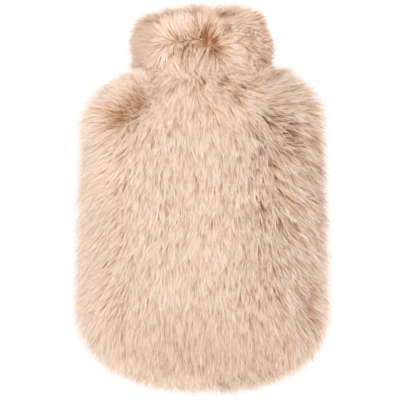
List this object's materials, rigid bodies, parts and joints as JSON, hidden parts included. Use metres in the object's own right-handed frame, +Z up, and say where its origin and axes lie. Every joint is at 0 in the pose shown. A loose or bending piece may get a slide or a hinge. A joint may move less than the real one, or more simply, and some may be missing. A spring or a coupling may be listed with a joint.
{
  "type": "hot water bottle cover",
  "caption": "Long-pile fitted cover, filled out and lying on its back, with a hollow body and an open neck inside a fluffy turned-over collar.",
  "frame": {"origin": "on the surface the cover lies on, under the middle of its bounding box", "axes": "+Y towards the collar and mouth, +Z up through the front, +X to the right seen from above"},
  "size_m": [0.2362, 0.3604, 0.0851],
  "materials": {
    "pile": "long soft pile, beige, darker at its roots",
    "pressed_pile": "long soft pile, beige, pressed flat",
    "pile_tips": "pale tips of the pile"
  },
  "bodies": {
    "root": {"front_panel": "pile", "back_panel": "pressed_pile", "collar": "pile", "seam_locks": "pile_tips", "mouth_locks": "pile_tips"}
  },
  "joints": []
}
